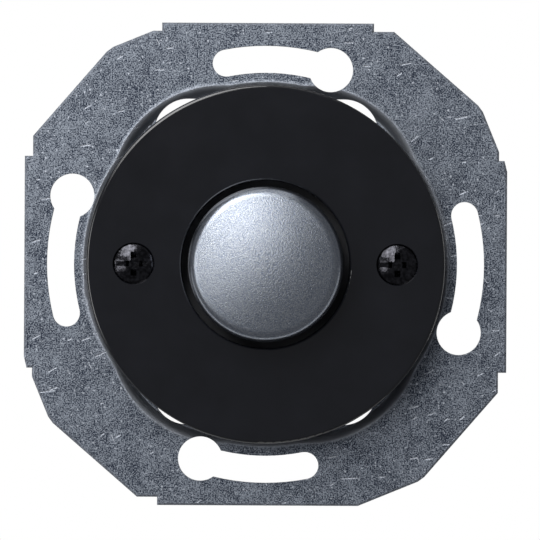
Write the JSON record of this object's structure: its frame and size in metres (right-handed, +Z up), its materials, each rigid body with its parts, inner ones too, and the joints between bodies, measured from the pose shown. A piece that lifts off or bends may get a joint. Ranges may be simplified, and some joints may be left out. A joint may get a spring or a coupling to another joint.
{
  "type": "push button light switch",
  "caption": "Flush push button light switch: round cover disc and domed metal button on a pressed steel carrier plate, with a moulded terminal base behind.",
  "frame": {"origin": "centre of the carrier plate and of its four screw slots, in the plane of the plate's rear face, which lies on the wall", "axes": "+X to the right seen from the room, +Z up, +Y into the wall; the button faces -Y and is pressed along +Y"},
  "size_m": [0.0706, 0.0376, 0.0706],
  "materials": {
    "galvanised_steel": "galvanised sheet, satin, mottled and lightly scratched",
    "black_phenolic": "moulded phenolic resin, low gloss",
    "black_steel": "black lacquered steel, glossy",
    "satin_nickel": "nickel plate over bead-blasted brass, satin",
    "grey_phenolic": "moulded phenolic resin, matt",
    "white_nylon": "moulded nylon",
    "spring_steel": "drawn spring wire",
    "silver": "fine silver contact faces",
    "brass": "extruded and stamped brass",
    "plated_steel": "bright zinc plate"
  },
  "bodies": {
    "carrier": {"carrier_plate": "galvanised_steel", "cover_disc": "black_phenolic", "return_spring": "spring_steel", "switch_base": "grey_phenolic", "base_cover": "grey_phenolic", "cover_screw_left": "black_steel", "base_cover_screw_left": "plated_steel", "rest_strip_left": "brass", "work_strip_left": "brass", "rest_contact_left": "silver", "work_contact_left": "silver", "terminal_block_top_left": "brass", "terminal_screw_top_left": "plated_steel", "plate_rivet_top_left": "plated_steel", "terminal_block_bottom_left": "brass", "terminal_screw_bottom_left": "plated_steel", "plate_rivet_bottom_left": "plated_steel", "cover_screw_right": "black_steel", "base_cover_screw_right": "plated_steel", "rest_strip_right": "brass", "work_strip_right": "brass", "rest_contact_right": "silver", "work_contact_right": "silver", "terminal_block_top_right": "brass", "terminal_screw_top_right": "plated_steel", "plate_rivet_top_right": "plated_steel", "terminal_block_bottom_right": "brass", "terminal_screw_bottom_right": "plated_steel", "plate_rivet_bottom_right": "plated_steel"},
    "button": {"button_cap": "satin_nickel", "plunger": "white_nylon", "bridge_clip": "spring_steel"},
    "bridge": {"contact_bridge": "brass", "moving_contact_left": "silver", "moving_contact_right": "silver", "contact_spring": "spring_steel"}
  },
  "joints": [
    {"name": "button_travel", "type": "slide", "parent": "carrier", "child": "button", "axis": [0, 1, 0], "range_m": [0, 0.0024], "stiffness_N_per_m": 800, "springref_m": -0.004, "deforming": ["return_spring"]},
    {"name": "bridge_lag", "type": "slide", "parent": "button", "child": "bridge", "axis": [0, 1, 0], "range_m": [-0.0006, 0], "deforming": ["contact_spring"]}
  ],
  "couplings": [
    {"joint": "bridge_lag", "follows": "button_travel", "ratio": -0.25}
  ]
}
